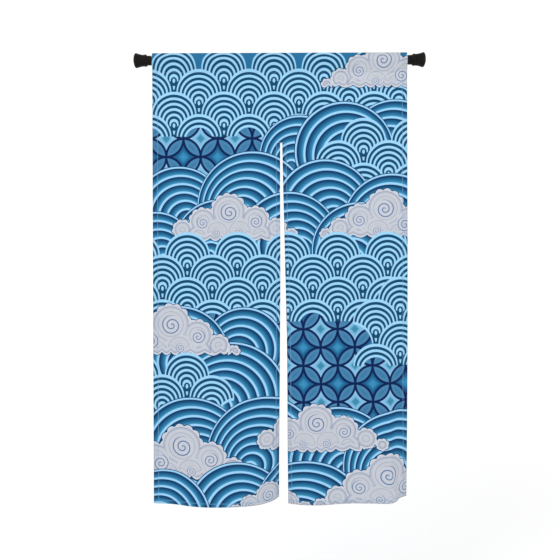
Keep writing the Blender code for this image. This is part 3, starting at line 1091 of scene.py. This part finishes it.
def add_stitches(bm, path, side, thickness):
    """Stitches along a path, on the front face (side 1) or behind a given thickness (side -1)."""
    lengths = [0.0]
    for (start, out), (end, out_too) in zip(path, path[1:]):
        lengths.append(lengths[-1] + (end - start).length)
    count = int((lengths[-1] - LINE_MARGIN) / STITCH_PITCH)
    segment = 0
    for number in range(count):
        begin = LINE_START + number * STITCH_PITCH + (0.0 if side > 0 else STITCH_PITCH / 4)
        rings = []
        for share, height, width in STITCH_SHAPE:
            at = begin + share * STITCH_LENGTH
            while segment < len(path) - 2 and lengths[segment + 1] < at:
                segment += 1
            span = lengths[segment + 1] - lengths[segment]
            part = (at - lengths[segment]) / span
            (start, out_start), (end, out_end) = path[segment], path[segment + 1]
            out = out_start.lerp(out_end, part).normalized()
            along = (end - start).normalized()
            sideways = along.cross(out).normalized()
            level = height * THREAD_RADIUS if side > 0 else -thickness - height * THREAD_RADIUS
            middle = start.lerp(end, part) + out * level
            ring = []
            for corner in range(THREAD_SIDES):
                angle = 2 * math.pi * (corner + 0.5) / THREAD_SIDES
                offset = out * math.cos(angle) + sideways * math.sin(angle)
                ring.append(bm.verts.new((middle + offset * THREAD_RADIUS * width) * MM))
            rings.append(ring)
        for near, far in zip(rings, rings[1:]):
            for corner in range(THREAD_SIDES):
                after = (corner + 1) % THREAD_SIDES
                bm.faces.new((near[corner], near[after], far[after], far[corner])).smooth = True
        bm.faces.new(list(reversed(rings[0])))
        bm.faces.new(rings[-1])


stitch_column = EDGE_LINES.index(STITCH_LINE)
side_column = EDGE_LINES.index(SIDE_STITCH_LINE)
pocket_row = min(range(top_row, len(section)), key=lambda row: abs(section[row][1] + POCKET_SEAM))
first_free_row = len(section)
stitch_row = len(cloth_rows) - 1 - stitch_column
last_column = len(pocket_x) - 1
slit_left = len(left_lines) - 1 - stitch_column
slit_right = len(left_lines) + stitch_column
side_rows = range(first_free_row, stitch_row + 1)
slit_rows = range(slit_row, stitch_row + 1)
stitch_lines = [
    [(row, side_column) for row in side_rows],
    [(row, last_column - side_column) for row in side_rows],
    [(row, slit_left) for row in slit_rows],
    [(row, slit_right) for row in slit_rows],
    [(stitch_row, column) for column in range(side_column, slit_left + 1)],
    [(stitch_row, column) for column in range(slit_right, last_column - side_column + 1)],
]
bm = bmesh.new()
for cells in stitch_lines:
    for side in (1, -1):
        add_stitches(bm, stitch_path(cells), side, TURNING_THICKNESS)
for row in (pocket_row, 2 * top_row - pocket_row):
    pocket_line = [(row, column) for column in range(1, last_column)]
    add_stitches(bm, stitch_path(pocket_line), 1, CLOTH_THICKNESS)
# Bar tack that keeps the slit from tearing further up: heights of its rows above the slit's top,
# and how far it reaches past the slit's edges, in mm
TACK_ROWS = (0.5, 1.0, 1.5, 2.0)
TACK_REACH = 6.0
for height in TACK_ROWS:
    tack = []
    for x in (SLIT_EDGES[0][1] - TACK_REACH, SLIT_EDGES[0][2] + TACK_REACH):
        near = min(cloth_rows[slit_row], key=lambda point: abs(point[0] - x))
        tack.append((Vector((x, near[1], height - SLIT_TOP)), Vector((0.0, -1.0, 0.0))))
    for side in (1, -1):
        add_stitches(bm, tack, side, CLOTH_THICKNESS)
bmesh.ops.recalc_face_normals(bm, faces=bm.faces)
stitches = add_piece("hem_stitches", bm)


def make_thread_material():
    """Spun thread: twisted fibres that catch a little light, slightly uneven in colour."""
    material, tree, shader = start_material("sewing_thread")
    place = tree.nodes.new("ShaderNodeTexCoord")
    fibres = noise(tree, place.outputs["Object"], THREAD_FIBRES)
    stops = [(0.3, "#86B8E0"), (0.7, "#A8CEEC")]
    join(tree, colour_ramp(tree, fibres, stops), shader.inputs["Base Color"])
    shader.inputs["Roughness"].default_value = 0.6
    shader.inputs["Sheen Weight"].default_value = 0.1
    return material


stitches.data.materials.append(make_thread_material())
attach(stitches, "root")

# The pole: a straight steel tube in a satin black powder coat, slid through the curtain's pocket.
# Its ends are inside the caps, so that it shows only in a narrow gap beside the cloth.
COAT_RELIEF = 0.25
# Handling has rubbed the coat where the wide noise is above this, with an edge as soft as this
RUBBED_ABOVE = 0.52
RUBBED_SOFTNESS = 0.25


def make_coat_group():
    """Powder coat seen close: slight orange peel, and places rubbed smoother by handling."""
    numbers = [("Grain", 900.0), ("Rubbed", 14.0), ("Smooth", 0.3), ("Rough", 0.45)]
    outputs = [("Height", "Float"), ("Roughness", "Float"), ("Mask", "Float")]
    group, given, out = start_group("satin_coat", numbers, outputs, vectors=["Place"])
    fine = noise(group, given["Place"], given["Grain"])
    wide = noise(group, given["Place"], given["Rubbed"], detail=4.0)
    worn = wide.over(RUBBED_ABOVE, RUBBED_SOFTNESS)
    roughness = given["Rough"] - (given["Rough"] - given["Smooth"]) * worn
    return finish_group(group, out, Height=fine, Roughness=roughness, Mask=worn)


coat = make_coat_group()


def make_coat_material(name, colour, rubbed_colour, smooth, rough, peel, metallic=0.0):
    """Coated or blackened metal; peel is the depth of its orange peel in mm."""
    material, tree, shader = start_material(name)
    place = tree.nodes.new("ShaderNodeTexCoord")
    finish = place_group(tree, coat, Place=place.outputs["Object"], Smooth=smooth, Rough=rough)
    base = mix_colours(tree, finish.outputs["Mask"], paint(colour), paint(rubbed_colour))
    join(tree, base, shader.inputs["Base Color"])
    join(tree, finish.outputs["Roughness"], shader.inputs["Roughness"])
    add_relief(tree, finish.outputs["Height"], COAT_RELIEF, peel * MM, shader)
    shader.inputs["Metallic"].default_value = metallic
    shader.inputs["Specular IOR Level"].default_value = 0.1
    return material


def coat_node(name, material):
    """Gives a CAD node's own mesh its finish."""
    mesh = bpy.data.objects[name].data
    mesh.materials.clear()
    mesh.materials.append(material)


black_coat = make_coat_material("black_coat", "#0E0C0B", "#171411", smooth=0.4, rough=0.55, peel=0.08)
coat_node("pole", black_coat)

# The end caps: metal knobs turned on a lathe, with a domed end, a flare down to a grooved collar
# and a plain neck that slips over the tube's end, in a browner coat of the same kind. Places along
# the pole and radii are in mm.
POLE_END_X = 463.0
CAP_MOUTH_X = 427.6
CAP_NECK_RADIUS = 15.6
CAP_RIM_RADIUS = 24.4
CAP_RIM_X = 477.4
CAP_END_X = 486.6
FLARE_TOP = (475.9, 24.0)
FLARE_CURVE = 1.7
GROOVE = ((452.8, 18.8), (452.3, 17.7), (451.3, 17.7))
COLLAR = ((439.6, 15.6), (440.9, 16.2), (443.6, 18.6), (445.4, 19.7), (448.0, 19.9), (450.8, 19.2))
CAP_CHAMFER = 0.5
CAP_CURVE_STEPS = 16
CAP_SEGMENTS = 96
CAP_SHARP_ANGLE = 32
SCREW_X = 436.8
SCREW_HOLE_RADIUS = 2.5
SCREW_HOLE_SEGMENTS = 32
DRILL_LENGTH = 10


def cap_profile():
    """Half section of a cap, as (x, radius), from the dome round to the bottom of its socket."""
    points = []
    for step in range(1, CAP_CURVE_STEPS + 1):
        angle = math.radians(90 * step / CAP_CURVE_STEPS)
        dome_x = CAP_RIM_X + (CAP_END_X - CAP_RIM_X) * math.cos(angle)
        points.append((dome_x, CAP_RIM_RADIUS * math.sin(angle)))
    groove_x, groove_radius = GROOVE[0]
    for step in range(CAP_CURVE_STEPS):
        share = step / CAP_CURVE_STEPS
        flare_x = FLARE_TOP[0] + (groove_x - FLARE_TOP[0]) * share
        flare = (FLARE_TOP[1] - groove_radius) * (1 - share) ** FLARE_CURVE
        points.append((flare_x, groove_radius + flare))
    points += GROOVE
    for step in range(CAP_CURVE_STEPS + 1):
        collar_x = COLLAR[-1][0] + (COLLAR[0][0] - COLLAR[-1][0]) * step / CAP_CURVE_STEPS
        points.append((collar_x, smooth_table(COLLAR, 1, collar_x)))
    points.append((CAP_MOUTH_X + CAP_CHAMFER, CAP_NECK_RADIUS))
    points.append((CAP_MOUTH_X, CAP_NECK_RADIUS - CAP_CHAMFER))
    points += [(CAP_MOUTH_X, POLE_RADIUS + GAP), (POLE_END_X + GAP, POLE_RADIUS + GAP)]
    return points


def make_cap(name, side):
    """One cap, on side +1 or -1, with the hole for its set screw drilled through the neck."""
    bm = bmesh.new()
    rings = []
    for x, radius in cap_profile():
        ring = []
        for segment in range(CAP_SEGMENTS):
            angle = 2 * math.pi * segment / CAP_SEGMENTS
            place = Vector((side * x, radius * math.cos(angle), radius * math.sin(angle)))
            ring.append(bm.verts.new(place * MM))
        rings.append(ring)
    for near, far in zip(rings, rings[1:]):
        for segment in range(CAP_SEGMENTS):
            after = (segment + 1) % CAP_SEGMENTS
            bm.faces.new((near[segment], near[after], far[after], far[segment]))
    dome_end = bm.verts.new((side * CAP_END_X * MM, 0.0, 0.0))
    for segment in range(CAP_SEGMENTS):
        bm.faces.new((dome_end, rings[0][(segment + 1) % CAP_SEGMENTS], rings[0][segment]))
    bm.faces.new(rings[-1])
    bmesh.ops.recalc_face_normals(bm, faces=bm.faces)
    cap = add_piece(name, bm)
    undrilled = cap.data

    bm = bmesh.new()
    radius = SCREW_HOLE_RADIUS * MM
    bmesh.ops.create_cone(bm, cap_ends=True, segments=SCREW_HOLE_SEGMENTS, radius1=radius,
                          radius2=radius, depth=DRILL_LENGTH * MM)
    drill = add_piece(name + "_drill", bm)
    drill_mesh = drill.data
    drill.location = (side * SCREW_X * MM, -CAP_NECK_RADIUS * MM, 0.0)
    drill.rotation_euler = (math.radians(90), 0.0, 0.0)
    cut = cap.modifiers.new("screw_hole", "BOOLEAN")
    cut.operation = "DIFFERENCE"
    cut.solver = "EXACT"
    cut.object = drill
    bpy.context.view_layer.update()
    drilled = bpy.data.meshes.new_from_object(cap.evaluated_get(bpy.context.evaluated_depsgraph_get()))
    cap.modifiers.clear()
    cap.data = drilled
    cap.data.name = name
    bpy.data.objects.remove(drill)
    bpy.data.meshes.remove(drill_mesh)
    bpy.data.meshes.remove(undrilled)
    drilled.shade_smooth()
    drilled.set_sharp_from_angle(angle=math.radians(CAP_SHARP_ANGLE))
    return cap


cap_coat = make_coat_material("cap_coat", "#0E0C0A", "#1A1612", smooth=0.36, rough=0.52, peel=0.1)
for name, side in (("left", -1), ("right", 1)):
    cap = make_cap("end_cap_" + name, side)
    cap.data.materials.append(cap_coat)
    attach(cap, "root")
    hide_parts("finial_" + name)

# The set screws: small grub screws of blackened steel, one in the neck of each cap. They are
# screwed in from the front until they bear on the tube, and hold the caps there.
dark_steel = make_coat_material("dark_steel", "#1B1A19", "#34322F", smooth=0.3, rough=0.5, peel=0.04,
                                metallic=1.0)
coat_node("set_screw_left", dark_steel)
coat_node("set_screw_right", dark_steel)

# The studio: a sweep of pale paper that curves up from the floor into a wall, an even white sky, two
# large soft lights in front, and the camera straight before the middle of the curtain. Sizes are in
# metres, the camera's sensor is in mm and its roll in degrees.
PAPER_HALF_WIDTH = 5.0
PAPER_FRONT = -4.0
PAPER_BEND = 1.6
PAPER_BEND_RADIUS = 1.2
PAPER_BEND_STEPS = 12
PAPER_HEIGHT = 5.0
FLOOR_Z = -2.0
PAPER_COLOUR = (0.93, 0.93, 0.93, 1.0)
SKY_COLOUR = (1.0, 1.0, 1.0, 1.0)
SKY_STRENGTH = 0.96
CAMERA_DISTANCE = 2.3
CAMERA_SENSOR = 36.0
VIEW_WIDTH = 1.8676
VIEW_HEIGHT_Z = -0.733
VIEW_CENTRE_X = -0.00133
CAMERA_ROLL = 0.2
# Soft lights: name, place, the point that each is turned to, size of its side, watts
SOFT_LIGHTS = (
    ("key_light", (-2.6, -3.0, 1.6), (0, 0, -0.9), 2.6, 62),
    ("fill_light", (2.8, -2.6, 0.4), (0, 0, -1.1), 2.6, 34),
)


def make_sweep():
    """Floor that curves up into a wall, as one smooth strip."""
    profile = [(PAPER_FRONT, 0.0)]
    for step in range(PAPER_BEND_STEPS + 1):
        angle = math.radians(90 * step / PAPER_BEND_STEPS)
        rise = PAPER_BEND_RADIUS * (1 - math.cos(angle))
        profile.append((PAPER_BEND + PAPER_BEND_RADIUS * math.sin(angle), rise))
    profile.append((PAPER_BEND + PAPER_BEND_RADIUS, PAPER_HEIGHT))
    bm = bmesh.new()
    for start, end in zip(profile, profile[1:]):
        corners = [(-PAPER_HALF_WIDTH, *start), (PAPER_HALF_WIDTH, *start)]
        corners += [(PAPER_HALF_WIDTH, *end), (-PAPER_HALF_WIDTH, *end)]
        bm.faces.new([bm.verts.new((x, y, z + FLOOR_Z)) for x, y, z in corners])
    bmesh.ops.remove_doubles(bm, verts=bm.verts, dist=MM)
    sweep = add_piece("studio_sweep", bm)
    sweep.data.shade_smooth()
    return sweep


sweep = make_sweep()
paper, _, paper_shader = start_material("studio_paper")
paper_shader.inputs["Base Color"].default_value = PAPER_COLOUR
paper_shader.inputs["Roughness"].default_value = 0.9
sweep.data.materials.append(paper)

world = bpy.data.worlds.new("studio_world")
world.use_nodes = True
sky = world.node_tree.nodes["Background"]
sky.inputs["Color"].default_value = SKY_COLOUR
sky.inputs["Strength"].default_value = SKY_STRENGTH
bpy.context.scene.world = world
bpy.context.scene.view_settings.view_transform = "Standard"

camera_data = bpy.data.cameras.new("camera")
camera_data.sensor_width = CAMERA_SENSOR
camera_data.lens = CAMERA_SENSOR * CAMERA_DISTANCE / VIEW_WIDTH
camera = bpy.data.objects.new("camera", camera_data)
camera.location = (VIEW_CENTRE_X, -CAMERA_DISTANCE, VIEW_HEIGHT_Z)
camera.rotation_euler = (math.radians(90), math.radians(CAMERA_ROLL), 0.0)
bpy.context.scene.collection.objects.link(camera)
bpy.context.scene.camera = camera

for name, place, aim, size, power in SOFT_LIGHTS:
    light_data = bpy.data.lights.new(name, "AREA")
    light_data.size = size
    light_data.energy = power
    light = bpy.data.objects.new(name, light_data)
    light.location = place
    light.rotation_euler = (Vector(aim) - Vector(place)).to_track_quat("-Z", "Y").to_euler()
    bpy.context.scene.collection.objects.link(light)
